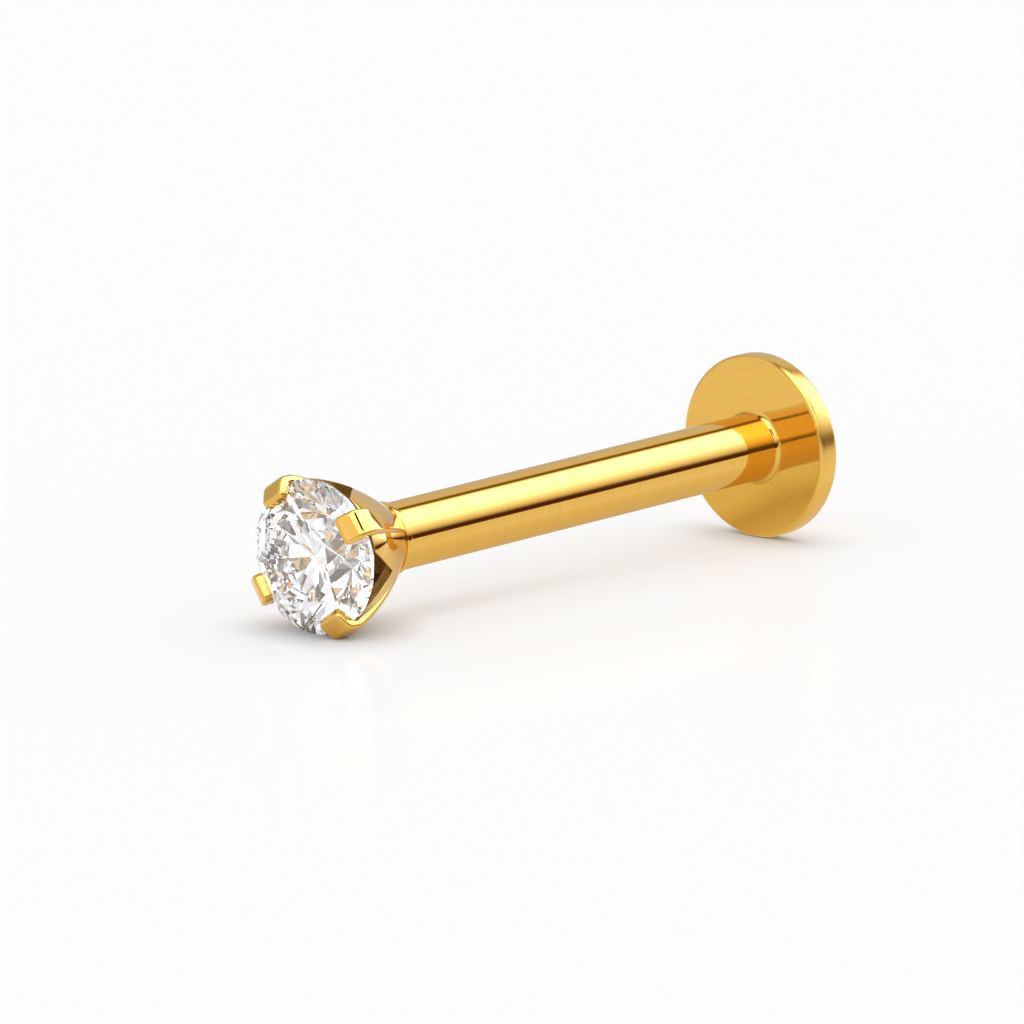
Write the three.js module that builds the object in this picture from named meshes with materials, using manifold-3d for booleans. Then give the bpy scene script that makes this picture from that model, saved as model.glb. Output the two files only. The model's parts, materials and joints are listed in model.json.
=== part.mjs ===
// Labret stud: a flat-back post with a round-brilliant gem set in a four-prong cup.
// Millimetres, +Z up. The stud lies on its side: disc at +X, gem at -X, on the disc's rim and the head.
import * as THREE from 'three';
import { mergeVertices } from 'three/addons/utils/BufferGeometryUtils.js';
import Module from 'manifold-3d';

const wasm = await Module();
wasm.setup();

// ---- driving dimensions, in millimetres unless a name says degrees ----

const POST_DIAMETER = 1.0;            // 18 gauge
const POST_LENGTH = 8.0;              // between the disc's face and the head's collar
const POST_END_CHAMFER = 0.02;
const DISC_DIAMETER = 2.75;
const DISC_THICKNESS = 0.35;
const DISC_EDGE_RADIUS = 0.08;
const SOLDER_FILLET = 0.08;           // where the post meets the disc

const BORE_DIAMETER = 0.6;            // blind hole in the post's end, for the head's pin
const BORE_DEPTH = 3.0;
const PIN_DIAMETER = 0.56;
const PIN_LENGTH = 2.8;
const HEAD_GAP = 0.02;                // between the post's end and the collar

const STONE_DIAMETER = 2.25;
const TABLE_RATIO = 0.57;             // table corners' diameter over the stone's
const GIRDLE_THICKNESS = 0.09;
const CROWN_ANGLE_DEGREES = 34.5;
const PAVILION_ANGLE_DEGREES = 40.8;
const STAR_LENGTH = 0.5;              // share of the way from table edge to girdle
const LOWER_HALF_LENGTH = 0.78;       // share of the way from girdle to culet
const STONE_FIT = 1.015;              // the seat is this much larger than the stone

const GIRDLE_HEIGHT = 1.5;            // from the collar's underside to the middle of the girdle
const COLLAR_DIAMETER = 1.1;
const COLLAR_THICKNESS = 0.11;
const COLLAR_GROOVE = 0.03;           // the cup starts this far inside the collar's edge
const CUP_WALL = 0.18;
const CUP_RIM_DIAMETER = 2.26;
const CUP_RIM_DROP = 0.08;            // the rim lies this far below the middle of the girdle
const CUP_BULGE = 0.07;               // how far the wall swells outside a straight cone
const NOTCH_DEPTH = 0.56;             // of the V cut in the rim, between two prongs
const NOTCH_HALF_WIDTH = 0.42;

const PRONG_COUNT = 4;
const PRONG_TURN_DEGREES = 33;        // from the cup's lowest line, as the stud lies, to the nearest prong
const PRONG_WIDTH = 0.42;             // at the girdle
const PRONG_TAPER = 0.09;             // width lost for each millimetre below the girdle
const PRONG_PROUD = 0.1;              // how far a prong stands out of the cup at its rim
const PRONG_PROUD_AT_FOOT = 0.02;     // and at its foot, where the prong runs out in the wall
const PRONG_THICKNESS = 0.24;
const PRONG_TIP_RADIUS = 0.87;        // from the stud's axis to the tip's end
const PRONG_TIP_THICKNESS = 0.15;
const PRONG_SHOULDER_BEND = 0.065;    // how far the bend over the girdle reaches along each side
const PRONG_CHAMFER = 0.06;           // along the strip's two sides and round its tip

const ROUND_STEPS = 48;               // facets around the metal, with one facet straight down
const GIRDLE_STEPS = 64;              // facets around the stone's blank
const STONE_TURN = 5.5;               // in girdle facets, so that one of them is straight down too
const ARC_STEPS = 4;                  // steps in each small rounded corner
const WALL_STEPS = 8;                 // steps along the cup's wall
const BEND_STEPS = 3;                 // steps in a prong's bend
const SETTLE_ROUNDS = 6;              // rounds that find the resting tilt

const degrees = THREE.MathUtils.degToRad;

// ---- materials ----

const polishedGold = new THREE.MeshStandardMaterial({ color: 0xe3b04b, metalness: 1, roughness: 0.12 });
const clearStone = new THREE.MeshStandardMaterial({
  color: 0xf4f6fa, metalness: 0, roughness: 0.02, transparent: true, opacity: 0.6,
});

// ---- solids: from a three.js geometry to a manifold and back ----

function solidOf(geometry) {
  const bare = geometry.clone();
  bare.deleteAttribute('normal');
  bare.deleteAttribute('uv');
  const merged = mergeVertices(bare, 1e-5);
  return new wasm.Manifold(new wasm.Mesh({
    numProp: 3,
    vertProperties: new Float32Array(merged.attributes.position.array),
    triVerts: new Uint32Array(merged.index.array),
  }));
}

function geometryOf(solid) {
  const mesh = solid.getMesh();
  const geometry = new THREE.BufferGeometry();
  geometry.setAttribute('position', new THREE.BufferAttribute(mesh.vertProperties, 3));
  geometry.setIndex(new THREE.BufferAttribute(mesh.triVerts, 1));
  geometry.computeVertexNormals();
  return geometry;
}

// A profile of [radius, height] points turned about Z. It runs from the lowest point up its outside.
function turned(points) {
  const profile = points.map(([radius, height]) => new THREE.Vector2(radius, height));
  return new THREE.LatheGeometry(profile, ROUND_STEPS, Math.PI / ROUND_STEPS).rotateX(Math.PI / 2);
}

// Points on an arc about [radius, height], from one direction to another, both in degrees.
function arc(radius, height, size, from, to) {
  return Array.from({ length: ARC_STEPS + 1 }, (_, i) => {
    const angle = degrees(from + (to - from) * i / ARC_STEPS);
    return [radius + size * Math.cos(angle), height + size * Math.sin(angle)];
  });
}

// Points on a curve that leaves `from` towards `control` and arrives at `to` from it.
function bend(from, control, to, steps) {
  const corners = [from, control, to].map(([radius, height]) => new THREE.Vector2(radius, height));
  const curve = new THREE.QuadraticBezierCurve(...corners);
  return curve.getPoints(steps).map((point) => [point.x, point.y]);
}

// ---- flat-back post: disc and hollow post, soldered into one ----
// Local frame: the stud's axis is Z, with the disc's inner face at 0 and the head above.

function flatBackPost() {
  const post = POST_DIAMETER / 2;
  const disc = DISC_DIAMETER / 2;
  const bore = BORE_DIAMETER / 2;
  const edge = DISC_EDGE_RADIUS;
  return turned([
    [0, -DISC_THICKNESS],
    ...arc(disc - edge, edge - DISC_THICKNESS, edge, -90, 0),
    ...arc(disc - edge, -edge, edge, 0, 90),
    ...arc(post + SOLDER_FILLET, SOLDER_FILLET, SOLDER_FILLET, 270, 180),
    [post, POST_LENGTH - POST_END_CHAMFER],
    [post - POST_END_CHAMFER, POST_LENGTH],
    [bore, POST_LENGTH],
    [bore, POST_LENGTH - BORE_DEPTH],
    [0, POST_LENGTH - BORE_DEPTH],
  ]);
}

// ---- stone: a round brilliant, cut one facet at a time from a round blank ----
// Local frame: Z is the stud's axis, with the middle of the girdle at 0 and the table above.

// A large block whose face lies across the stone at the given slope and turn, and passes through
// the point at [radius, height] in that direction.
function facetCutter(slope, turn, radius, height) {
  const size = STONE_DIAMETER * 4;
  const block = new THREE.BoxGeometry(size, size, size).translate(0, 0, size / 2);
  return solidOf(block.rotateY(slope).translate(radius, 0, height).rotateZ(turn));
}

function stone() {
  const radius = STONE_DIAMETER / 2;
  const edge = GIRDLE_THICKNESS / 2;
  const table = radius * TABLE_RATIO;
  const eighth = Math.PI / 4;
  const sixteenth = eighth / 2;
  const crown = degrees(CROWN_ANGLE_DEGREES);
  const pavilion = degrees(PAVILION_ANGLE_DEGREES);
  const tableHeight = edge + (radius - table) * Math.tan(crown);
  const tableEdge = table * Math.cos(sixteenth);

  // A star's outer point is where two crown mains and two upper halves meet.
  const starPoint = tableEdge + STAR_LENGTH * (radius - tableEdge);
  const starHeight = edge + (radius - starPoint * Math.cos(sixteenth)) * Math.tan(crown);
  const starSlope = Math.atan2(tableHeight - starHeight, starPoint - tableEdge);
  const halfReach = Math.cos(sixteenth / 2);
  const upperHalf = Math.atan2(starHeight - edge, (radius - starPoint) * halfReach);

  // A lower half's inner point is where two pavilion mains meet.
  const lowPoint = radius * (1 - LOWER_HALF_LENGTH);
  const lowDepth = (radius - lowPoint * Math.cos(sixteenth)) * Math.tan(pavilion);
  const lowerHalf = Math.atan2(lowDepth, (radius - lowPoint) * halfReach);

  const blank = new THREE.CylinderGeometry(radius, radius, STONE_DIAMETER * 1.2, GIRDLE_STEPS)
    .rotateX(Math.PI / 2)
    .rotateZ(Math.PI / 2);
  let solid = solidOf(blank).subtract(facetCutter(0, 0, 0, tableHeight));
  for (let i = 0; i < 8; i += 1) {
    const turn = i * eighth;
    solid = solid
      .subtract(facetCutter(crown, turn, radius, edge))
      .subtract(facetCutter(starSlope, turn + sixteenth, tableEdge, tableHeight))
      .subtract(facetCutter(Math.PI - pavilion, turn, radius, -edge));
    for (const side of [-0.5, 0.5]) {
      const halfTurn = turn + side * sixteenth;
      solid = solid
        .subtract(facetCutter(upperHalf, halfTurn, radius * halfReach, edge))
        .subtract(facetCutter(Math.PI - lowerHalf, halfTurn, radius * halfReach, -edge));
    }
  }
  return solid.rotate([0, 0, STONE_TURN * 360 / GIRDLE_STEPS]);
}

// ---- gem setting: pin, collar, notched cup and prongs, one soldered solid ----
// Same local frame as the stone.

const cupFoot = COLLAR_THICKNESS - GIRDLE_HEIGHT;
const cupFootRadius = COLLAR_DIAMETER / 2 - COLLAR_GROOVE;
const cupRimRadius = CUP_RIM_DIAMETER / 2;

// The cup's outer wall, [radius, height] points from its foot to its rim, moved outwards at each end.
function cupWall(footOut, rimOut) {
  const foot = [cupFootRadius + footOut, cupFoot];
  const rim = [cupRimRadius + rimOut, -CUP_RIM_DROP];
  const control = [(foot[0] + rim[0]) / 2 + CUP_BULGE * 2, (foot[1] + rim[1]) / 2];
  return bend(foot, control, rim, WALL_STEPS);
}

function cupAndPin() {
  const pin = PIN_DIAMETER / 2;
  const collar = COLLAR_DIAMETER / 2;
  const underside = -GIRDLE_HEIGHT;
  const inside = cupWall(-CUP_WALL, -CUP_WALL).reverse().filter(([, height]) => height > cupFoot + CUP_WALL);
  return solidOf(turned([
    [0, underside - PIN_LENGTH],
    [pin, underside - PIN_LENGTH],
    [pin, underside],
    [collar, underside],
    [collar, cupFoot],
    ...cupWall(0, 0),
    ...inside,
    [0, cupFoot + CUP_WALL],
  ]));
}

// A V cut that points down between two prongs, through the wall on the +X side.
function notch() {
  const top = STONE_DIAMETER;
  const rim = -CUP_RIM_DROP;
  const outline = new THREE.Shape()
    .moveTo(-NOTCH_HALF_WIDTH, top)
    .lineTo(-NOTCH_HALF_WIDTH, rim)
    .lineTo(0, rim - NOTCH_DEPTH)
    .lineTo(NOTCH_HALF_WIDTH, rim)
    .lineTo(NOTCH_HALF_WIDTH, top);
  return new THREE.ExtrudeGeometry(outline, { depth: STONE_DIAMETER, bevelEnabled: false })
    .rotateX(Math.PI / 2)
    .rotateZ(Math.PI / 2);
}

// One prong on the +X side: a strip up the cup's wall, bent over the girdle onto the crown.
function prong() {
  const crown = degrees(CROWN_ANGLE_DEGREES);
  const face = cupRimRadius + PRONG_PROUD;
  const girdle = STONE_DIAMETER / 2;
  const edge = GIRDLE_THICKNESS / 2;
  const crownAt = (radius) => edge + (girdle - radius) * Math.tan(crown);
  const tipOut = PRONG_TIP_THICKNESS * Math.sin(crown);
  const tipUp = PRONG_TIP_THICKNESS * Math.cos(crown);
  const shoulder = crownAt(face - tipOut) + tipUp;
  const reach = PRONG_SHOULDER_BEND;
  const points = [
    ...cupWall(PRONG_PROUD_AT_FOOT, PRONG_PROUD),
    ...bend([face, shoulder - reach], [face, shoulder],
      [face - reach, shoulder + reach * Math.tan(crown)], BEND_STEPS),
    [PRONG_TIP_RADIUS + tipOut, crownAt(PRONG_TIP_RADIUS) + tipUp],
    [PRONG_TIP_RADIUS, crownAt(PRONG_TIP_RADIUS)],
    ...cupWall(PRONG_PROUD - PRONG_THICKNESS, PRONG_PROUD - PRONG_THICKNESS).reverse(),
  ].map(([radius, height]) => new THREE.Vector2(radius, height));
  const depth = PRONG_WIDTH - 2 * PRONG_CHAMFER;
  const strip = new THREE.ExtrudeGeometry(new THREE.Shape(points), {
    depth,
    bevelSegments: 1,
    bevelThickness: PRONG_CHAMFER,
    bevelSize: PRONG_CHAMFER,
    bevelOffset: -PRONG_CHAMFER,
  }).translate(0, 0, -depth / 2).rotateX(Math.PI / 2);
  const place = strip.attributes.position;
  for (let i = 0; i < place.count; i += 1) {
    place.setY(i, place.getY(i) * (1 + place.getZ(i) * PRONG_TAPER / PRONG_WIDTH));
  }
  return strip;
}

function gemSetting(gem) {
  const quarter = 2 * Math.PI / PRONG_COUNT;
  const first = degrees(PRONG_TURN_DEGREES);
  const turns = Array.from({ length: PRONG_COUNT }, (_, i) => first + i * quarter);
  let solid = cupAndPin();
  for (const turn of turns) {
    solid = solid.subtract(solidOf(notch().rotateZ(turn + quarter / 2)));
  }
  for (const turn of turns) {
    solid = solid.add(solidOf(prong().rotateZ(turn)));
  }
  return solid.subtract(gem.scale([STONE_FIT, STONE_FIT, STONE_FIT]));
}

// ---- the stud, built upright and then laid on its side ----

const stud = new THREE.Group();
const girdleAt = POST_LENGTH + HEAD_GAP + GIRDLE_HEIGHT;

const gem = stone();

const flat_back_post = new THREE.Mesh(flatBackPost(), polishedGold);
flat_back_post.name = 'flat_back_post';
stud.add(flat_back_post);

const head = new THREE.Group();
head.position.z = girdleAt;
stud.add(head);

const gem_setting = new THREE.Mesh(geometryOf(gemSetting(gem)), polishedGold);
gem_setting.name = 'gem_setting';
head.add(gem_setting);

const stoneMesh = new THREE.Mesh(geometryOf(gem), clearStone);
stoneMesh.name = 'stone';
head.add(stoneMesh);

// Tip the stud onto its side, with the axis dipping until disc and head are equally low.
const row = new THREE.Group();
row.add(stud);
const lowest = (object) => new THREE.Box3().setFromObject(object, true).min.z;
let dip = 0;
for (let i = 0; i < SETTLE_ROUNDS; i += 1) {
  stud.rotation.y = -Math.PI / 2 - dip;
  row.updateMatrixWorld(true);
  dip += (lowest(head) - lowest(flat_back_post)) / girdleAt;
}
stud.rotation.y = -Math.PI / 2 - dip;

// Stand it on Z = 0, centred on the origin.
row.updateMatrixWorld(true);
const box = new THREE.Box3().setFromObject(row, true);
const centre = box.getCenter(new THREE.Vector3());
stud.position.set(-centre.x, -centre.y, -box.min.z);

export default row;
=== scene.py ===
# %% [markdown]
# # A flat-back labret stud
# The stud is three pieces: a straight round post with a flat disc soldered to its back end, a
# plug-in head with a thin cup and bent prongs, and a round brilliant. The exact model gives where
# they are. It is faceted, so each piece is modelled again here, finer, at the same place and size.

import json
import math

import bmesh
import bpy
from mathutils import Matrix, Vector


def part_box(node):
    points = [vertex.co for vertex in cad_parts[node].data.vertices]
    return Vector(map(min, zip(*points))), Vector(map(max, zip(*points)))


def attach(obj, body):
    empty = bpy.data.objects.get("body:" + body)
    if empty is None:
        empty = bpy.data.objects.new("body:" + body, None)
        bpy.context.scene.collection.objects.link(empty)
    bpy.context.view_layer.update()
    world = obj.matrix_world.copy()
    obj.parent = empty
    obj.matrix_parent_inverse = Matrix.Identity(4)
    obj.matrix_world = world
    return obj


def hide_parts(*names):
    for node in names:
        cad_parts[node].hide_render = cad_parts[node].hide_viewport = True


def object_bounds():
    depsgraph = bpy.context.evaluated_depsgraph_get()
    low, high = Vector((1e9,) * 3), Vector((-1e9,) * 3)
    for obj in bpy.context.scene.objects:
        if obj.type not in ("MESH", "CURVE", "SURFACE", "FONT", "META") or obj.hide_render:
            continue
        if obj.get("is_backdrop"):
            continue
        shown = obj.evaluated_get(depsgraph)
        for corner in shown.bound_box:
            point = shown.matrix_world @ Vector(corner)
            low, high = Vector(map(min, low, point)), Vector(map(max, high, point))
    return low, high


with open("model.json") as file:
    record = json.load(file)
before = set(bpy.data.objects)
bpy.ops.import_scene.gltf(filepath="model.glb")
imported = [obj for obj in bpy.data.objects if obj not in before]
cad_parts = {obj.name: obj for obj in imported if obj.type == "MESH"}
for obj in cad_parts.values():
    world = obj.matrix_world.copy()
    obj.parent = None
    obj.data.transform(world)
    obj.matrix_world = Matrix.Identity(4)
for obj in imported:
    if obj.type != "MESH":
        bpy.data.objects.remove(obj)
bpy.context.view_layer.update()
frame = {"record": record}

# %% [markdown]
# A stud is turned on a lathe, so it is easiest to model standing on its back with its axis along
# Z, in millimetres. One matrix then lays it down: the record's `back_face` mount gives the middle
# of the disc's back and the way the axis points. The disc's inner face is at height 0, and the
# head is above it.

# %% The stud's own axes
MM = 0.001
DISC_THICKNESS = 0.35

back = {mount["name"]: mount for mount in frame["record"]["mounts"]}["back_face"]
axis = -Vector(back["axis"]).normalized()
sideways = Vector((0, 1, 0))
upwards = sideways.cross(axis)
inner_face = Vector(back["pos_m"]) + axis * DISC_THICKNESS * MM
turn_to_stud = Matrix((upwards, sideways, axis)).transposed().to_4x4()
lay_down = Matrix.Translation(inner_face) @ turn_to_stud @ Matrix.Scale(MM, 4)
print("the axis dips", round(math.degrees(math.asin(-axis.z)), 2), "degrees towards the gem")

# %% [markdown]
# The pieces share a few steps. A profile is a few points joined by wire edges, whose corners are
# rounded by a vertex bevel, and a full spin turns it about Z. `finish` lays a piece down, gives it
# its sharp edges, and hides the exact solid it stands for.

# %% Helpers for the pieces
WELD_MM = 1e-4


def profile(bm, points):
    verts = [bm.verts.new((radius, 0, height)) for radius, height in points]
    for pair in zip(verts, verts[1:]):
        bm.edges.new(pair)
    return verts


def round_off(bm, geometry, size, steps, affect):
    bmesh.ops.bevel(bm, geom=geometry, offset=size, offset_type="OFFSET", segments=steps,
                    profile=0.5, affect=affect, material=-1)


def spin(bm, steps):
    bmesh.ops.spin(bm, geom=bm.verts[:] + bm.edges[:], cent=(0, 0, 0), axis=(0, 0, 1),
                   angle=math.tau, steps=steps, use_merge=True)
    bmesh.ops.remove_doubles(bm, verts=bm.verts[:], dist=WELD_MM)
    bmesh.ops.recalc_face_normals(bm, faces=bm.faces[:])


def finish(bm, name, node, sharp_degrees):
    bmesh.ops.transform(bm, matrix=lay_down, verts=bm.verts[:])
    mesh = bpy.data.meshes.new(name)
    bm.to_mesh(mesh)
    bm.free()
    mesh.shade_smooth()
    mesh.set_sharp_from_angle(angle=math.radians(sharp_degrees))
    piece = bpy.data.objects.new(name, mesh)
    bpy.context.collection.objects.link(piece)
    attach(piece, "root")
    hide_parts(node)
    print(name, "has", len(mesh.polygons), "faces")
    return piece


# %% [markdown]
# ## The flat-back post
# A 1 mm post is soldered square into the middle of a turned disc. The disc's rim is rounded on
# both sides so that it slides over skin, and the solder leaves a small hollow fillet around the
# post's foot. The front end is bored to take the head's pin. All of it is round, so it is one
# profile and one spin.

# %% Post and disc
DISC_RADIUS = (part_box("flat_back_post")[1].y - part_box("flat_back_post")[0].y) / 2 / MM
POST_RADIUS = 0.5
POST_LENGTH = 8.0
DISC_EDGE = 0.08
SOLDER_FILLET = 0.08
POST_END_EDGE = 0.02
BORE_RADIUS = 0.3
BORE_DEPTH = 3.0
LATHE_STEPS = 144


def flat_back_post():
    bm = bmesh.new()
    verts = profile(bm, [
        (0, -DISC_THICKNESS),
        (DISC_RADIUS, -DISC_THICKNESS),
        (DISC_RADIUS, 0),
        (POST_RADIUS, 0),
        (POST_RADIUS, POST_LENGTH),
        (BORE_RADIUS, POST_LENGTH),
        (BORE_RADIUS, POST_LENGTH - BORE_DEPTH),
        (0, POST_LENGTH - BORE_DEPTH),
    ])
    back_rim, front_rim, foot, end = verts[1:5]
    round_off(bm, [back_rim, front_rim], DISC_EDGE, steps=8, affect="VERTICES")
    round_off(bm, [foot], SOLDER_FILLET, steps=6, affect="VERTICES")
    round_off(bm, [end], POST_END_EDGE, steps=3, affect="VERTICES")
    spin(bm, LATHE_STEPS)
    return finish(bm, "turned_post_and_disc", "flat_back_post", sharp_degrees=40)


post = flat_back_post()

# %% [markdown]
# ## The brilliant
# A cutter grinds one flat facet after another, and so does `facet`: `bisect_plane` takes away what
# lies outside a plane, and one face closes the cut. Slope 0 is the flat top, and a slope past a
# right angle is on the underside.

# %% One facet
CUT_MM = 1e-5


def facet(bm, slope, turn, radius, height):
    outwards = Vector((math.cos(turn), math.sin(turn), 0))
    normal = outwards * math.sin(slope) + Vector((0, 0, math.cos(slope)))
    point = outwards * radius + Vector((0, 0, height))
    cut = bmesh.ops.bisect_plane(bm, geom=bm.verts[:] + bm.edges[:] + bm.faces[:], dist=CUT_MM,
                                 plane_co=point, plane_no=normal, clear_outer=True)
    edges = [part for part in cut["geom_cut"] if isinstance(part, bmesh.types.BMEdge)]
    bmesh.ops.holes_fill(bm, edges=edges, sides=0)


# %% [markdown]
# The mains have the usual angles. Each star and half facet then has the one slope that makes it
# meet its neighbours in a point, as a good cut does. The girdle keeps a thin band of small flats,
# and the stone is turned so that one of them faces straight down.

# %% The stone
STONE_RADIUS = 1.125
TABLE_RATIO = 0.57
GIRDLE_THICKNESS = 0.09
CROWN_ANGLE = math.radians(34.5)
PAVILION_ANGLE = math.radians(40.8)
STAR_LENGTH = 0.5
LOWER_HALF_LENGTH = 0.78
GIRDLE_STEPS = 64
STONE_TURN = 5.5 * math.tau / GIRDLE_STEPS
GIRDLE_HEIGHT = 1.5
HEAD_GAP = 0.02
TO_GIRDLE = Matrix.Translation((0, 0, POST_LENGTH + HEAD_GAP + GIRDLE_HEIGHT))
EIGHTH = math.tau / 8
SIXTEENTH = EIGHTH / 2


def brilliant():
    radius = STONE_RADIUS
    edge = GIRDLE_THICKNESS / 2
    table = radius * TABLE_RATIO
    table_height = edge + (radius - table) * math.tan(CROWN_ANGLE)
    table_edge = table * math.cos(SIXTEENTH)

    # A star's outer point is where two crown mains and two upper halves meet.
    star_point = table_edge + STAR_LENGTH * (radius - table_edge)
    star_height = edge + (radius - star_point * math.cos(SIXTEENTH)) * math.tan(CROWN_ANGLE)
    star_slope = math.atan2(table_height - star_height, star_point - table_edge)
    half_reach = math.cos(SIXTEENTH / 2)
    upper_half = math.atan2(star_height - edge, (radius - star_point) * half_reach)

    # A lower half's inner point is where two pavilion mains meet.
    low_point = radius * (1 - LOWER_HALF_LENGTH)
    low_depth = (radius - low_point * math.cos(SIXTEENTH)) * math.tan(PAVILION_ANGLE)
    lower_half = math.atan2(low_depth, (radius - low_point) * half_reach)

    bm = bmesh.new()
    bmesh.ops.create_cone(bm, cap_ends=True, segments=GIRDLE_STEPS, radius1=radius,
                          radius2=radius, depth=radius * 3)
    facet(bm, slope=0, turn=0, radius=0, height=table_height)
    for i in range(8):
        turn = i * EIGHTH
        facet(bm, CROWN_ANGLE, turn, radius, edge)
        facet(bm, star_slope, turn + SIXTEENTH, table_edge, table_height)
        facet(bm, math.pi - PAVILION_ANGLE, turn, radius, -edge)
        for side in (-0.5, 0.5):
            half_turn = turn + side * SIXTEENTH
            facet(bm, upper_half, half_turn, radius * half_reach, edge)
            facet(bm, math.pi - lower_half, half_turn, radius * half_reach, -edge)
    place = TO_GIRDLE @ Matrix.Rotation(STONE_TURN, 4, "Z")
    bmesh.ops.transform(bm, matrix=place, verts=bm.verts[:])
    return finish(bm, "round_brilliant", "stone", sharp_degrees=0.5)


stone = brilliant()

# %% [markdown]
# ## The setting
# The head's metal is one soldered piece: a hidden pin under a thin round collar, a flared cup
# whose rim is filed down in four V notches, and four flat prongs that run up the cup and bend over
# the girdle. Each is made as a closed shell, upright and with the first prong towards +X, and
# `join` gathers them into one mesh. Heights are now from the middle of the girdle.

# %% Pin and collar
PIN_RADIUS = 0.28
PIN_LENGTH = 2.8
COLLAR_RADIUS = 0.55
COLLAR_THICKNESS = 0.11
COLLAR_EDGE = 0.025


def join(whole, part):
    carrier = bpy.data.meshes.new("carrier")
    part.to_mesh(carrier)
    part.free()
    whole.from_mesh(carrier)
    bpy.data.meshes.remove(carrier)


def pin_and_collar():
    bm = bmesh.new()
    verts = profile(bm, [
        (0, -GIRDLE_HEIGHT - PIN_LENGTH),
        (PIN_RADIUS, -GIRDLE_HEIGHT - PIN_LENGTH),
        (PIN_RADIUS, -GIRDLE_HEIGHT),
        (COLLAR_RADIUS, -GIRDLE_HEIGHT),
        (COLLAR_RADIUS, COLLAR_THICKNESS - GIRDLE_HEIGHT),
        (0, COLLAR_THICKNESS - GIRDLE_HEIGHT),
    ])
    round_off(bm, verts[3:5], COLLAR_EDGE, steps=4, affect="VERTICES")
    spin(bm, LATHE_STEPS)
    return bm


setting_mesh = bmesh.new()
join(setting_mesh, pin_and_collar())
print("pin and collar:", len(setting_mesh.faces), "faces")

# %% [markdown]
# The cup flares in a slight curve, and its rim dips to a V between each two prongs. One function
# gives a point of the wall from how far up it is, and another how far up the rim is from which way
# it faces. The prongs later follow the same wall.

# %% The cup's wall
COLLAR_GROOVE = 0.03
CUP_FOOT = COLLAR_THICKNESS - GIRDLE_HEIGHT
CUP_FOOT_RADIUS = COLLAR_RADIUS - COLLAR_GROOVE
CUP_RIM_RADIUS = 1.13
CUP_RIM = -0.08
CUP_BULGE = 0.07
NOTCH_DEPTH = 0.56
NOTCH_HALF_TURN = math.radians(22.5)
QUARTER = math.tau / 4


def wall_point(share, out=0.0):
    """The cup's outer wall from its foot, share 0, to its rim, share 1, moved outwards."""
    bulge = 4 * CUP_BULGE * share * (1 - share)
    radius = CUP_FOOT_RADIUS + share * (CUP_RIM_RADIUS - CUP_FOOT_RADIUS) + bulge + out
    return radius, CUP_FOOT + share * (CUP_RIM - CUP_FOOT)


def filed_share(turn):
    """How far up the wall the rim is, at this turn from the first prong. Unfiled, it is 1."""
    from_notch = turn % QUARTER - QUARTER / 2
    depth = NOTCH_DEPTH * max(0, 1 - abs(from_notch) / NOTCH_HALF_TURN)
    return 1 - depth / (CUP_RIM - CUP_FOOT)


print("a notch goes down to", round(filed_share(QUARTER / 2), 2), "of the wall's height")

# %% [markdown]
# The cup is spun whole, with a thin lip and a seat that slopes like the stone's underside. Its
# points are then moved down the wall where a file would have gone. That leaves its rim one clean
# loop, which cutting with planes wouldn't. The faces inside it get a material index of their own,
# because no polishing wheel reaches them.

# %% Cup
CUP_WALL = 0.18
CUP_LIP = 0.02
CUP_LIP_EDGE = 0.01
SEAT_SHARE = 0.83
FLOOR_SHARE = CUP_WALL / (CUP_RIM - CUP_FOOT)
JUST_ABOVE = 1e-4
INNER_CUP_INDEX = 1
WALL_STEPS = 20


def is_inside(face):
    """Inside the cup a face looks up, and straight along the axis or towards it."""
    outwards = Vector((*face.calc_center_median().xy, 0))
    return face.normal.z > 0.2 and face.normal.dot(outwards) < 0.001


def cup():
    bm = bmesh.new()
    outside = [wall_point(i / WALL_STEPS) for i in range(WALL_STEPS + 1)]
    inside = [wall_point(FLOOR_SHARE + (SEAT_SHARE - FLOOR_SHARE) * i / WALL_STEPS, -CUP_WALL)
              for i in range(WALL_STEPS, -1, -1)]
    verts = profile(bm, [(0, CUP_FOOT), *outside, (CUP_RIM_RADIUS - CUP_LIP, CUP_RIM), *inside,
                         (0, inside[-1][1])])
    rim = verts[len(outside)]
    round_off(bm, [rim], CUP_LIP_EDGE, steps=3, affect="VERTICES")
    spin(bm, LATHE_STEPS)
    for vert in bm.verts:
        share = (vert.co.z - CUP_FOOT) / (CUP_RIM - CUP_FOOT)
        if share > FLOOR_SHARE + JUST_ABOVE:
            top = filed_share(math.atan2(vert.co.y, vert.co.x))
            lowered = FLOOR_SHARE + (share - FLOOR_SHARE) * (top - FLOOR_SHARE) / (1 - FLOOR_SHARE)
            radius = vert.co.xy.length
            vert.co.xy *= 1 + (wall_point(lowered)[0] - wall_point(share)[0]) / radius
            vert.co.z = wall_point(lowered)[1]
    bm.normal_update()
    for face in bm.faces:
        if is_inside(face):
            face.material_index = INNER_CUP_INDEX
    return bm


join(setting_mesh, cup())
print("with the cup:", len(setting_mesh.faces), "faces")

# %% [markdown]
# A prong is a flat strip, bent at the girdle. Its side outline is one face: up the cup's wall,
# over the girdle, down the crown to the tip and back along the stone. The strip stands prouder of
# the cup at the rim than at the foot, and its bend is a curve, because thick metal bends no
# tighter.

# %% A prong's outline
PRONG_PROUD = 0.1
PRONG_PROUD_AT_FOOT = 0.02
PRONG_TIP_RADIUS = 0.87
PRONG_TIP_THICKNESS = 0.15
PRONG_SHOULDER_BEND = 0.08
PRONG_BEND_STEPS = 8
PRONG_BACK = -0.09
STONE_GAP = 0.006


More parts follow.
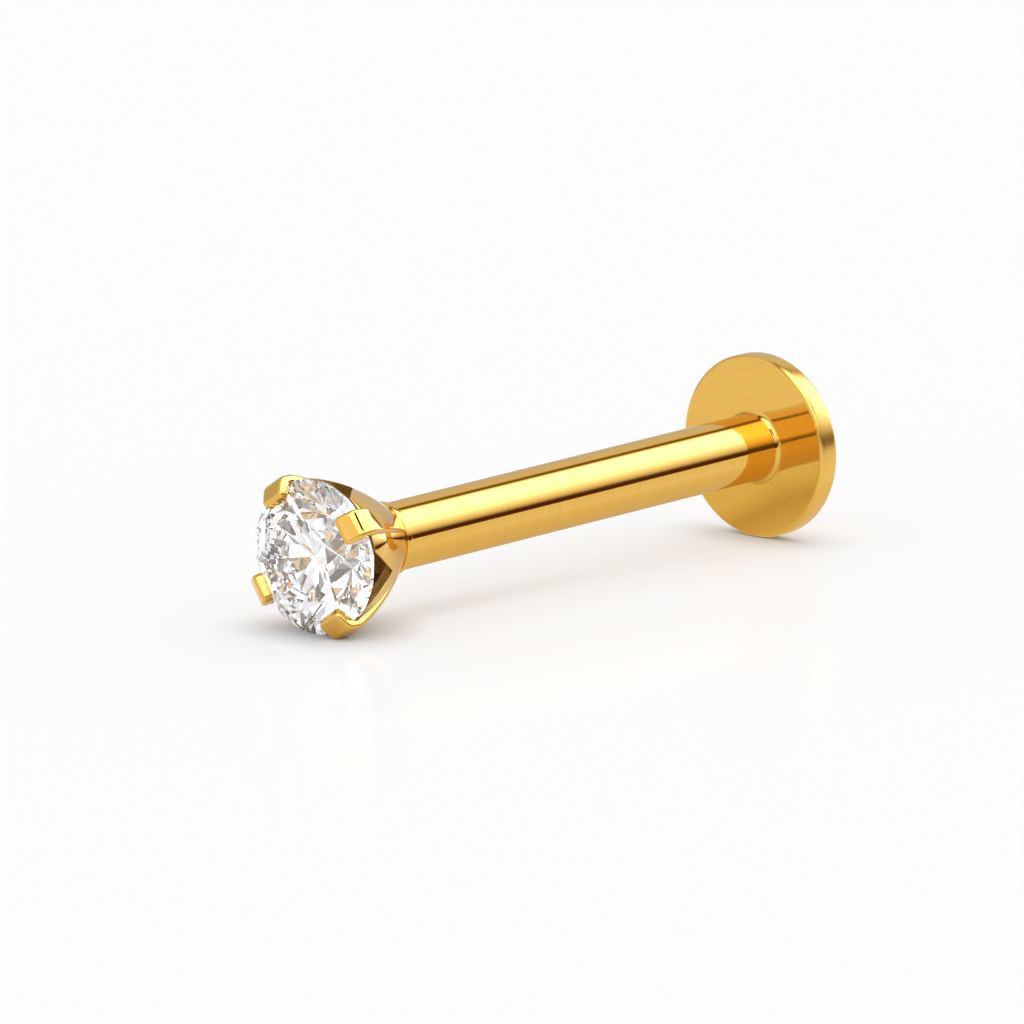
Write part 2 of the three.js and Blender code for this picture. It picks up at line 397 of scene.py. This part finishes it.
def shoulder_bend(face, shoulder, steps):
    """Points on the curve that takes the strip's outer face over into its top."""
    slope = math.tan(CROWN_ANGLE)
    start = Vector((face, shoulder - PRONG_SHOULDER_BEND))
    corner = Vector((face, shoulder))
    end = Vector((face - PRONG_SHOULDER_BEND, shoulder + PRONG_SHOULDER_BEND * slope))
    shares = [i / steps for i in range(steps + 1)]
    return [start.lerp(corner, share).lerp(corner.lerp(end, share), share) for share in shares]


def prong_outline():
    face = CUP_RIM_RADIUS + PRONG_PROUD
    edge = GIRDLE_THICKNESS / 2
    tip_out = PRONG_TIP_THICKNESS * math.sin(CROWN_ANGLE)
    tip_up = PRONG_TIP_THICKNESS * math.cos(CROWN_ANGLE)
    crown = {radius: edge + (STONE_RADIUS - radius) * math.tan(CROWN_ANGLE)
             for radius in (PRONG_TIP_RADIUS, face - tip_out)}
    rise = PRONG_PROUD - PRONG_PROUD_AT_FOOT
    outside = [wall_point(i / WALL_STEPS, PRONG_PROUD_AT_FOOT + rise * i / WALL_STEPS)
               for i in range(WALL_STEPS + 1)]
    tip = crown[PRONG_TIP_RADIUS]
    shoulder = crown[face - tip_out] + tip_up
    girdle = STONE_RADIUS + STONE_GAP
    return [
        *outside, *shoulder_bend(face, shoulder, PRONG_BEND_STEPS),
        (PRONG_TIP_RADIUS + tip_out, tip + tip_up),
        (PRONG_TIP_RADIUS, tip + STONE_GAP),
        (girdle, edge + STONE_GAP),
        (girdle, -edge - STONE_GAP),
        wall_point(SEAT_SHARE, PRONG_BACK),
        wall_point(FLOOR_SHARE, PRONG_BACK),
        wall_point(0, PRONG_BACK),
    ]


print("a prong's outline has", len(prong_outline()), "points")

# %% [markdown]
# The outline's face is extruded to the strip's width, which tapers towards the foot. The tip's two
# corners are rounded in plan, and then every edge of the outer skin is eased, because a polishing
# wheel leaves none sharp.

# %% Prongs
PRONG_WIDTH = 0.42
PRONG_TAPER = 0.09
PRONG_CORNER = 0.09
PRONG_EDGE = 0.055
PRONG_TURN = math.radians(33)
SKIN_CREASE = math.radians(30)


def is_skin(face):
    """The outer skin looks outwards or up over the crown, and not sideways."""
    return face.normal.x > 0.3 and abs(face.normal.y) < 0.5


def tip_corners(bm):
    """The tip's two edges through the strip. The others there run across it or are longer."""
    reach = PRONG_TIP_RADIUS + PRONG_TIP_THICKNESS
    at_tip = [edge for edge in bm.edges
              if all(vert.co.x < reach and vert.co.z > 0 for vert in edge.verts)]
    not_across = [edge for edge in at_tip if abs(edge.verts[0].co.y - edge.verts[1].co.y) < 0.1]
    return [edge for edge in not_across if edge.calc_length() < PRONG_TIP_THICKNESS * 1.1]


def prong():
    bm = bmesh.new()
    outline = [bm.verts.new((radius, -PRONG_WIDTH / 2, height))
               for radius, height in prong_outline()]
    grown = bmesh.ops.extrude_face_region(bm, geom=[bm.faces.new(outline)])
    far_side = [part for part in grown["geom"] if isinstance(part, bmesh.types.BMVert)]
    bmesh.ops.translate(bm, verts=far_side, vec=(0, PRONG_WIDTH, 0))
    for vert in bm.verts:
        vert.co.y *= 1 + vert.co.z * PRONG_TAPER / PRONG_WIDTH
    bmesh.ops.recalc_face_normals(bm, faces=bm.faces[:])
    round_off(bm, tip_corners(bm), PRONG_CORNER, steps=5, affect="EDGES")
    bm.normal_update()

    # An edge of the skin has the skin on one side of it only.
    skin_edges = [edge for edge in bm.edges if sum(is_skin(face) for face in edge.link_faces) == 1
                  and edge.calc_face_angle() > SKIN_CREASE]
    round_off(bm, skin_edges, PRONG_EDGE, steps=4, affect="EDGES")
    return bm


for i in range(4):
    strip = prong()
    bmesh.ops.rotate(strip, cent=(0, 0, 0), matrix=Matrix.Rotation(i * QUARTER, 3, "Z"),
                     verts=strip.verts[:])
    join(setting_mesh, strip)
bmesh.ops.transform(setting_mesh, matrix=TO_GIRDLE @ Matrix.Rotation(PRONG_TURN, 4, "Z"),
                    verts=setting_mesh.verts[:])
setting = finish(setting_mesh, "soldered_setting", "gem_setting", sharp_degrees=35)

# %% [markdown]
# ## Materials
# Shaders want linear colour, and a maker's colour is an sRGB hex value, so one function turns it.
# Another adds a node, with its settings, the values or links of its inputs, and a colour ramp's
# stops. Patterns are drawn in the stud's own millimetres.

# %% Helpers for the materials
def linear(hex_colour):
    channels = [int(hex_colour[i:i + 2], 16) / 255 for i in (1, 3, 5)]
    return [c / 12.92 if c <= 0.04045 else ((c + 0.055) / 1.055) ** 2.4 for c in channels] + [1.0]


def add(tree, kind, inputs=(), stops=(), **settings):
    made = tree.nodes.new(kind)
    for name, value in settings.items():
        setattr(made, name, value)
    for name, value in dict(inputs).items():
        if isinstance(value, bpy.types.NodeSocket):
            tree.links.new(value, made.inputs[name])
        else:
            made.inputs[name].default_value = value
    if stops:
        elements = made.color_ramp.elements
        while len(elements) < len(stops):
            elements.new(0.5)
        for element, (place, colour) in zip(elements, stops):
            element.position = place
            element.color = colour
    return made


def new_material(name):
    material = bpy.data.materials.new(name)
    material.use_nodes = True
    material.node_tree.nodes.clear()
    return material, material.node_tree


def stud_millimetres(tree):
    """A point's place along the stud's own axes, in millimetres, from the disc's inner face."""
    place = add(tree, "ShaderNodeTexCoord").outputs["Object"]
    return add(tree, "ShaderNodeMapping", {
        "Vector": place,
        "Location": inner_face,
        "Rotation": turn_to_stud.to_euler(),
        "Scale": (MM, MM, MM),
    }, vector_type="TEXTURE").outputs["Vector"]


# %% [markdown]
# ### Mirror-polished 14 carat gold
# Gold's colour is in its reflection: F0 is high in red, about a half in green and low in blue.
# Where gold mirrors gold, the colour is squared, which is what makes the deep ambers, so the
# colour itself stays even. The finish isn't perfect. A polishing wheel leaves haze, and it runs
# off the disc's rim, which stays softer than the faces. A lathe's marks run round the axis, so
# they change only with the radius and the height. Real ones are finer than these, which are drawn
# coarse enough to show.

# %% Gold
GOLD = "#E6B655"
RUBBED_GOLD = "#EABC64"
POLISH_ROUGHNESS = (0.045, 0.085)
RIM_SOFTER_BY = 0.17
HAZE_SIZE_MM = 0.6
TURNING_MARK_MM = 0.06
TURNING_MARK_DEPTH_MM = 0.001


def polished_gold():
    material, tree = new_material("polished_14_carat_gold")
    place = stud_millimetres(tree)
    haze = add(tree, "ShaderNodeTexNoise", {
        "Vector": place, "Scale": 1 / HAZE_SIZE_MM, "Detail": 3.0,
    })
    polish = add(tree, "ShaderNodeMapRange", {
        "Value": haze.outputs["Fac"], "From Min": 0.3, "From Max": 0.7,
        "To Min": POLISH_ROUGHNESS[0], "To Max": POLISH_ROUGHNESS[1],
    })
    apart = add(tree, "ShaderNodeSeparateXYZ", {"Vector": place})
    flat = add(tree, "ShaderNodeCombineXYZ", {"X": apart.outputs["X"], "Y": apart.outputs["Y"]})
    radius = add(tree, "ShaderNodeVectorMath", {"Vector": flat.outputs[0]}, operation="LENGTH")
    rim = add(tree, "ShaderNodeMapRange", {
        "Value": radius.outputs["Value"], "To Max": RIM_SOFTER_BY,
        "From Min": DISC_RADIUS - DISC_EDGE, "From Max": DISC_RADIUS,
    }, interpolation_type="SMOOTHSTEP")
    roughness = add(tree, "ShaderNodeMath", {0: polish.outputs["Result"], 1: rim.outputs["Result"]})
    section = add(tree, "ShaderNodeCombineXYZ", {
        "X": radius.outputs["Value"], "Y": apart.outputs["Z"],
    })
    marks = add(tree, "ShaderNodeTexNoise", {
        "Vector": section.outputs[0], "Scale": 1 / TURNING_MARK_MM, "Detail": 2.0,
    })
    shade = add(tree, "ShaderNodeMapRange", {
        "Value": marks.outputs["Fac"], "From Min": 0.35, "From Max": 0.8,
    })

    # A Mix node has a pair of inputs for each kind of value. Its colours are numbers 6 and 7, and
    # the mixed colour is output 2.
    colour = add(tree, "ShaderNodeMix", {
        0: shade.outputs["Result"], 6: linear(GOLD), 7: linear(RUBBED_GOLD),
    }, data_type="RGBA")
    relief = add(tree, "ShaderNodeBump", {
        "Height": marks.outputs["Fac"], "Strength": 0.25, "Distance": TURNING_MARK_DEPTH_MM * MM,
    })
    gold = add(tree, "ShaderNodeBsdfPrincipled", {
        "Base Color": colour.outputs[2], "Metallic": 1.0, "Roughness": roughness.outputs[0],
        "Normal": relief.outputs["Normal"],
    })
    add(tree, "ShaderNodeOutputMaterial", {"Surface": gold.outputs[0]})
    return material


gold = polished_gold()
for piece in (post, setting):
    piece.data.materials.append(gold)
    print(piece.name, "is", gold.name)

# %% [markdown]
# ### Inside the cup
# No wheel reaches the inside of the cup, so it is left rough. Its colour is darker deep in the
# cup and turns to an amber satin just below the notches.

# %% Inside the cup
DEEP_CUP_COLOUR = "#A87A35"
SATIN_GOLD = "#D2A252"
INNER_CUP_ROUGHNESS = 0.45
SATIN_LINE_MM = POST_LENGTH + HEAD_GAP + GIRDLE_HEIGHT + CUP_RIM - NOTCH_DEPTH - CUP_WALL
SATIN_FADE_MM = 0.12
GRAIN_SIZE_MM = 0.04
GRAIN_DEPTH_MM = 0.002


def inner_cup_gold():
    material, tree = new_material("inner_cup_14_carat_gold")
    place = stud_millimetres(tree)
    grain = add(tree, "ShaderNodeTexNoise", {"Vector": place, "Scale": 1 / GRAIN_SIZE_MM})
    # Darker deep in the cup, fading by height alone to amber satin just below the notches.
    fade = add(tree, "ShaderNodeMapRange", {
        "Value": add(tree, "ShaderNodeSeparateXYZ", {"Vector": place}).outputs["Z"],
        "From Min": SATIN_LINE_MM - SATIN_FADE_MM, "From Max": SATIN_LINE_MM,
    })
    colour = add(tree, "ShaderNodeMix", {
        0: fade.outputs["Result"], 6: linear(DEEP_CUP_COLOUR), 7: linear(SATIN_GOLD),
    }, data_type="RGBA")
    relief = add(tree, "ShaderNodeBump", {
        "Height": grain.outputs["Fac"], "Strength": 0.3, "Distance": GRAIN_DEPTH_MM * MM,
    })
    gold = add(tree, "ShaderNodeBsdfPrincipled", {
        "Base Color": colour.outputs[2], "Metallic": 1.0, "Roughness": INNER_CUP_ROUGHNESS,
        "Normal": relief.outputs["Normal"],
    })
    add(tree, "ShaderNodeOutputMaterial", {"Surface": gold.outputs[0]})
    return material


setting.data.materials.append(inner_cup_gold())
print(sum(face.material_index == INNER_CUP_INDEX for face in setting.data.polygons), "faces inside the cup")

# %% [markdown]
# ### Moissanite
# The stone is clear and colourless. Its index of refraction is higher than a diamond's, so its
# back facets turn nearly all light round inside it and little of the gold behind them shows. The
# facets are polished flat, with no roughness at all.

# %% Gem
MOISSANITE_IOR = 2.65


def clear_gem():
    material, tree = new_material("faceted_moissanite")
    gem = add(tree, "ShaderNodeBsdfPrincipled", {
        "Base Color": linear("#FFFFFF"), "Roughness": 0.0, "IOR": MOISSANITE_IOR,
        "Transmission Weight": 1.0,
    })
    add(tree, "ShaderNodeOutputMaterial", {"Surface": gem.outputs[0]})
    return material


stone.data.materials.append(clear_gem())
print(stone.name, "is", stone.data.materials[0].name)

# %% [markdown]
# ## Studio
# Polished gold shows nothing but what is round it, so a studio for it is designed as reflections.
# First comes what the stud lies on: a sheet of opal acrylic, lit from below. It glows white and
# mirrors the stud faintly. Close to the stud an occlusion mask turns the glow down, a painted
# contact shadow that gives each contact a soft dark edge. The studio's sizes are in metres.

# %% Floor
FLOOR_RADIUS = 0.6
OPAL_GREY = "#C1C1C1"
SHEEN_SHARE = 0.05
SHEEN_ROUGHNESS = 0.12
GLOW_STRENGTH = 0.45
CONTACT_SHADOW_MM = 0.8


def stage_object(name, bm, material):
    mesh = bpy.data.meshes.new(name)
    bm.to_mesh(mesh)
    bm.free()
    mesh.materials.append(material)
    thing = bpy.data.objects.new(name, mesh)
    bpy.context.collection.objects.link(thing)
    thing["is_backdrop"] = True
    return thing


def opal_acrylic():
    material, tree = new_material("backlit_opal_acrylic")
    sheet = add(tree, "ShaderNodeBsdfDiffuse", {"Color": linear(OPAL_GREY)})
    sheen = add(tree, "ShaderNodeBsdfGlossy", {
        "Color": linear("#FFFFFF"), "Roughness": SHEEN_ROUGHNESS,
    })
    top = add(tree, "ShaderNodeMixShader", {
        0: SHEEN_SHARE, 1: sheet.outputs[0], 2: sheen.outputs[0],
    })
    # Painted contact shadow: ambient occlusion turns the floor's glow down close to the stud, so
    # each contact gets a dark edge.
    painted_contact_shadow = add(tree, "ShaderNodeAmbientOcclusion", {"Distance": CONTACT_SHADOW_MM * MM})
    strength = add(tree, "ShaderNodeMapRange", {
        "Value": painted_contact_shadow.outputs["AO"], "To Min": 0.0, "To Max": GLOW_STRENGTH,
    })
    glow = add(tree, "ShaderNodeEmission", {
        "Color": linear("#FFFFFF"), "Strength": strength.outputs["Result"],
    })
    lit = add(tree, "ShaderNodeAddShader", {0: top.outputs[0], 1: glow.outputs[0]})
    add(tree, "ShaderNodeOutputMaterial", {"Surface": lit.outputs[0]})
    return material


def pale_floor():
    bm = bmesh.new()
    bmesh.ops.create_circle(bm, cap_ends=True, segments=64, radius=FLOOR_RADIUS)
    return stage_object("floor", bm, opal_acrylic())


floor = pale_floor()
print("the floor is", round(2 * FLOOR_RADIUS / MM), "mm across")

# %% [markdown]
# Round the stud comes a striped tent. Its lowest stripe is dark and goes on a little below the
# horizon, where the floor hides the world, so a low brown card in front of the stud carries it on.
# The card, like the high card after it, is paper that shines by itself.

# %% Low card
BROWN = "#5B300D"
CARD_DISTANCE = 0.03
CARD_HEIGHT = 0.0016
CARD_LENGTH = 0.2


def card_mesh(width, depth):
    bm = bmesh.new()
    bmesh.ops.create_grid(bm, x_segments=1, y_segments=1, size=0.5)
    bmesh.ops.scale(bm, vec=(width, depth, 1), verts=bm.verts[:])
    return bm


def paper(name, colour):
    material, tree = new_material(name)
    shine = add(tree, "ShaderNodeEmission", {"Color": linear(colour), "Strength": 1.0})
    add(tree, "ShaderNodeOutputMaterial", {"Surface": shine.outputs[0]})
    return material


bm = card_mesh(CARD_LENGTH, CARD_HEIGHT)
bmesh.ops.rotate(bm, matrix=Matrix.Rotation(math.radians(90), 3, "X"), verts=bm.verts[:])
bmesh.ops.translate(bm, vec=(0, -CARD_DISTANCE, CARD_HEIGHT / 2), verts=bm.verts[:])
low_card = stage_object("low_card", bm, paper("brown_paper", BROWN))
print("the low card is", round(CARD_HEIGHT / MM, 1), "mm high")

# %% [markdown]
# A second card hangs high in front of the stud. Where a prong bends over the girdle, its shoulder
# mirrors the card as the dark line that makes the bend crisp.

# %% High card
DARK_BROWN = "#40230C"
HIGH_CARD_AT = Vector((-0.2, -0.68, 0.7)) * 0.15
HIGH_CARD_SIZE = 0.055

bm = card_mesh(HIGH_CARD_SIZE, HIGH_CARD_SIZE)
facing = HIGH_CARD_AT.to_track_quat("Z", "Y").to_matrix().to_4x4()
bmesh.ops.transform(bm, matrix=facing, verts=bm.verts[:])
bmesh.ops.translate(bm, vec=HIGH_CARD_AT, verts=bm.verts[:])
high_card = stage_object("high_card", bm, paper("dark_brown_paper", DARK_BROWN))
print("the high card is at", [round(v / MM) for v in HIGH_CARD_AT], "mm")

# %% [markdown]
# A glowing strip lies under the post and ends short of the stone. It is a painted shadow of the
# floor that only reflections see: darkest and cream just below the post and paler behind it, it
# takes the light off the post's underside and the foot of the disc, which would otherwise look
# flat. Its own underside is clear, so that the floor's sheen still mirrors the stud. The lens
# doesn't see the three cards and they cast no shadow, so they show only in the gold and the stone.

# %% Under card
UNDER_CARD_ENDS = (-0.0035, 0.1)
UNDER_CARD_EDGES = (-0.0024, 0.0076)
UNDER_CARD_LIFT = 1e-5
UNDER_CARD_SHADOW_TINTS = [
    (0.0, "#FFFFFF"),
    (0.2, "#EAE2CC"),
    (0.3, "#D4C39B"),
    (0.38, "#F0E8CC"),
    (0.6, "#F2ECD2"),
    (1.0, "#FFFFFF"),
]


def painted_shadow_paper():
    material, tree = new_material("painted_floor_shadow")
    place = add(tree, "ShaderNodeTexCoord").outputs["Object"]
    near, far = UNDER_CARD_EDGES
    across = add(tree, "ShaderNodeMapRange", {
        "Value": add(tree, "ShaderNodeSeparateXYZ", {"Vector": place}).outputs["Y"],
        "From Min": near, "From Max": far,
    })
    # Painted floor shadow: the ramp is darkest and cream just behind the post's axis and white at
    # both edges.
    shadow_tint = add(tree, "ShaderNodeValToRGB", {"Fac": across.outputs["Result"]},
               stops=[(share, linear(colour)) for share, colour in UNDER_CARD_SHADOW_TINTS])
    top = add(tree, "ShaderNodeEmission", {"Color": shadow_tint.outputs["Color"], "Strength": 1.0})
    underside = add(tree, "ShaderNodeNewGeometry").outputs["Backfacing"]
    clear = add(tree, "ShaderNodeBsdfTransparent")
    both = add(tree, "ShaderNodeMixShader", {
        0: underside, 1: top.outputs[0], 2: clear.outputs[0],
    })
    add(tree, "ShaderNodeOutputMaterial", {"Surface": both.outputs[0]})
    return material


def under_the_post():
    left, right = UNDER_CARD_ENDS
    near, far = UNDER_CARD_EDGES
    bm = card_mesh(right - left, far - near)
    middle = ((left + right) / 2, (near + far) / 2, UNDER_CARD_LIFT)
    bmesh.ops.translate(bm, vec=middle, verts=bm.verts[:])
    return stage_object("painted_shadow_card", bm, painted_shadow_paper())


painted_shadow_card = under_the_post()
for unseen in (low_card, high_card, painted_shadow_card):
    unseen.visible_camera = False
    unseen.visible_shadow = False
    unseen.visible_diffuse = False
    print("the lens doesn't see the", unseen.name)

# %% [markdown]
# ### The light tent
# The tent is the world. The stud lies along X, and its post mirrors the tent as stripes, one for
# each height about X, from 0 degrees at the -Y horizon over the top to 180 at the +Y horizon. The
# brown and gold stripes draw the dark lines that make metal look like metal. The stone and the
# disc see the gem's side of the tent too, where the stripes turn neutral, and what faces the
# gem's end sees white with two grey stripes.

# %% Stripes
PANEL_STRENGTH = 4.6
TENT_STRIPES = [
    (0, BROWN, 1.0),
    (9, BROWN, 1.0),
    (13, "#FFFFFF", 0.4),
    (17, "#FFFFFF", 0.8),
    (26, "#EAEAFF", 1.5),
    (35, "#E0E0FF", 2.5),
    (46, "#DADAFF", 4.0),
    (56, "#D9D9FF", 4.6),
    (84, "#D9D9FF", 4.6),
    (93, "#E0E0FF", 2.4),
    (97, "#C8A85A", 0.9),
    (100, "#BF9A4A", 0.4),
    (105, "#BF9A4A", 0.4),
    (111, "#FFFFFF", 0.82),
    (130, "#FFFFFF", 0.78),
    (150, "#FFFFFF", 0.68),
    (180, "#FFFFFF", 0.6),
]
GEM_SIDE_STRIPES = [
    (0, "#FFFFFF", 0.12),
    (9, "#FFFFFF", 0.12),
    (14, "#FFFFFF", 0.6),
    (22, "#FFFFFF", 1.2),
    (35, "#E6F5FF", 2.2),
    (46, "#E6F5FF", 3.0),
    (84, "#E6F5FF", 3.0),
    (93, "#FFFFFF", 2.0),
    (97, "#FFFFFF", 0.6),
    (100, "#FFFFFF", 0.25),
    (105, "#FFFFFF", 0.25),
    (111, "#FFFFFF", 1.0),
    (180, "#FFFFFF", 0.95),
]
GEM_END_STRIPES = [
    (0, "#FFFFFF", 0.35),
    (8, "#FFFFFF", 0.35),
    (18, "#FFFFFF", 1.15),
    (98, "#FFFFFF", 1.15),
    (104, "#FFFFFF", 0.35),
    (114, "#FFFFFF", 0.35),
    (120, "#FFFFFF", 1.1),
    (180, "#FFFFFF", 1.0),
]


def tent_stops(stripes):
    """A ramp's stops from the -Y horizon to the +Y one, as shares of the panel's strength."""
    return [(degrees / 180,
             [channel * strength / PANEL_STRENGTH for channel in linear(colour)[:3]] + [1.0])
            for degrees, colour, strength in stripes]


print("stripes:", len(TENT_STRIPES), len(GEM_SIDE_STRIPES), len(GEM_END_STRIPES))

# %% [markdown]
# The lens and the matt floor see plain white cloth instead of the stripes, so the background and
# the shadows stay even. Cycles would still sample the stripes as a lamp for the floor, because it
# doesn't ask which rays that light is for, so this sampling is off. The Standard view transform
# shows each colour as it was chosen.

# %% The light tent
CLOTH = "#FDFDFD"
GEM_SIDE = (-0.2, -0.4)
GEM_END = (-0.79, -0.85)


def light_tent():
    world = bpy.data.worlds.new("light_tent")
    world.use_nodes = True
    tree = world.node_tree
    tree.nodes.clear()
    direction = add(tree, "ShaderNodeTexCoord").outputs["Generated"]
    apart = add(tree, "ShaderNodeSeparateXYZ", {"Vector": direction})
    front = add(tree, "ShaderNodeMath", {0: apart.outputs["Y"], 1: -1.0}, operation="MULTIPLY")
    height = add(tree, "ShaderNodeMath", {
        0: apart.outputs["Z"], 1: front.outputs[0],
    }, operation="ARCTAN2")
    share = add(tree, "ShaderNodeMath", {0: height.outputs[0], 1: math.pi}, operation="DIVIDE")
    colour = add(tree, "ShaderNodeValToRGB", {"Fac": share.outputs[0]},
                 stops=tent_stops(TENT_STRIPES)).outputs["Color"]
    for (near, far), stripes in ((GEM_SIDE, GEM_SIDE_STRIPES), (GEM_END, GEM_END_STRIPES)):
        past = add(tree, "ShaderNodeMapRange", {
            "Value": apart.outputs["X"], "From Min": near, "From Max": far,
        }, interpolation_type="SMOOTHSTEP")
        beyond = add(tree, "ShaderNodeValToRGB", {"Fac": share.outputs[0]},
                     stops=tent_stops(stripes))
        colour = add(tree, "ShaderNodeMix", {
            0: past.outputs["Result"], 6: colour, 7: beyond.outputs["Color"],
        }, data_type="RGBA").outputs[2]
    tent = add(tree, "ShaderNodeBackground", {"Color": colour, "Strength": PANEL_STRENGTH})
    cloth = add(tree, "ShaderNodeBackground", {"Color": linear(CLOTH), "Strength": 1.0})
    path = add(tree, "ShaderNodeLightPath")
    plain = add(tree, "ShaderNodeMath", {
        0: path.outputs["Is Camera Ray"], 1: path.outputs["Is Diffuse Ray"],
    }, operation="MAXIMUM")
    shown = add(tree, "ShaderNodeMixShader", {
        0: plain.outputs[0], 1: tent.outputs[0], 2: cloth.outputs[0],
    })
    add(tree, "ShaderNodeOutputWorld", {"Surface": shown.outputs[0]})
    return world


bpy.context.scene.world = light_tent()
bpy.context.scene.world.cycles.sampling_method = "NONE"
bpy.context.scene.view_settings.view_transform = "Standard"
print("the world is the", bpy.context.scene.world.name)

# %% [markdown]
# Light bounces many times inside a brilliant before it leaves. Cycles stops a path after a few
# bounces and shows black there, so the limits are raised.

# %% Bounces
MOST_BOUNCES = 24

bpy.context.scene.cycles.max_bounces = MOST_BOUNCES
bpy.context.scene.cycles.glossy_bounces = MOST_BOUNCES
bpy.context.scene.cycles.transmission_bounces = MOST_BOUNCES
print("bounces:", bpy.context.scene.cycles.max_bounces)

# %% [markdown]
# ## Camera
# The lens is long, as for jewellery, because the post shows hardly any perspective. It looks down
# a little from the gem's side of the front, at a point just left of and below the middle of the
# object's box.

# %% Camera
AZIMUTH = math.radians(-47.9)
ELEVATION = math.radians(11.14)
DISTANCE_MM = 203.6
AIM_RIGHT_MM = -0.366
AIM_UP_MM = -0.287
SENSOR_MM = 36
LENS_MM = 492.2

low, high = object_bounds()
towards_camera = Vector((math.sin(AZIMUTH) * math.cos(ELEVATION),
                         -math.cos(AZIMUTH) * math.cos(ELEVATION), math.sin(ELEVATION)))
rightwards = Vector((math.cos(AZIMUTH), math.sin(AZIMUTH), 0))
above = towards_camera.cross(rightwards)
aim = (low + high) / 2 + (rightwards * AIM_RIGHT_MM + above * AIM_UP_MM) * MM
camera = bpy.data.objects.new("camera", bpy.data.cameras.new("camera"))
camera.data.sensor_width = SENSOR_MM
camera.data.lens = LENS_MM
camera.data.clip_start = 0.01
camera.data.clip_end = 10
camera.location = aim + towards_camera * DISTANCE_MM * MM
camera.rotation_euler = towards_camera.to_track_quat("Z", "Y").to_euler()
bpy.context.collection.objects.link(camera)
bpy.context.scene.camera = camera
print("the lens is", LENS_MM, "mm long and", DISTANCE_MM, "mm away")
